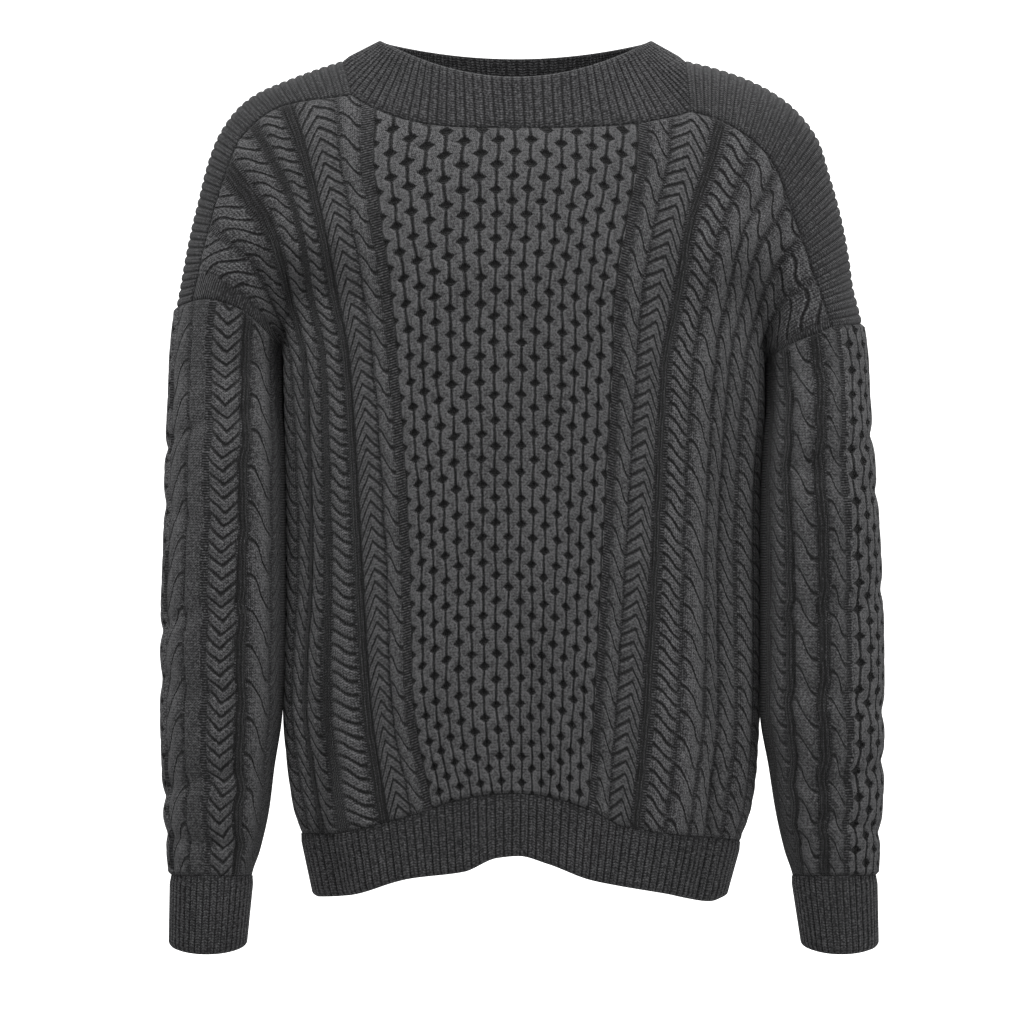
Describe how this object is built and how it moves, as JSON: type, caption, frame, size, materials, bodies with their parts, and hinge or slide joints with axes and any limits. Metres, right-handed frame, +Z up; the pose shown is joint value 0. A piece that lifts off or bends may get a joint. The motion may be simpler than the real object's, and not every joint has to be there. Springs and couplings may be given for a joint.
{
  "type": "cable knit sweater",
  "caption": "Long-sleeved cable knit pullover with a ribbed funnel neck, saddle straps, dropped shoulders, cuffs and hem rib.",
  "frame": {"origin": "between the shoulders on the garment's middle plane, level with the sides of the neck seam", "axes": "+Z up, the front faces -Y, the wearer's left is at +X"},
  "size_m": [0.5629, 0.2236, 0.7124],
  "materials": {
    "body_knit": "charcoal wool cable knit, matt and slightly fuzzy",
    "rib_knit": "charcoal wool rib knit, matt"
  },
  "bodies": {
    "root": {"front_panel": "body_knit", "back_panel": "body_knit", "sleeve_right": "body_knit", "sleeve_left": "body_knit", "shoulder_strap_right": "rib_knit", "shoulder_strap_left": "rib_knit", "collar": "rib_knit", "hem_rib": "rib_knit", "cuff_right": "rib_knit", "cuff_left": "rib_knit"}
  },
  "joints": []
}
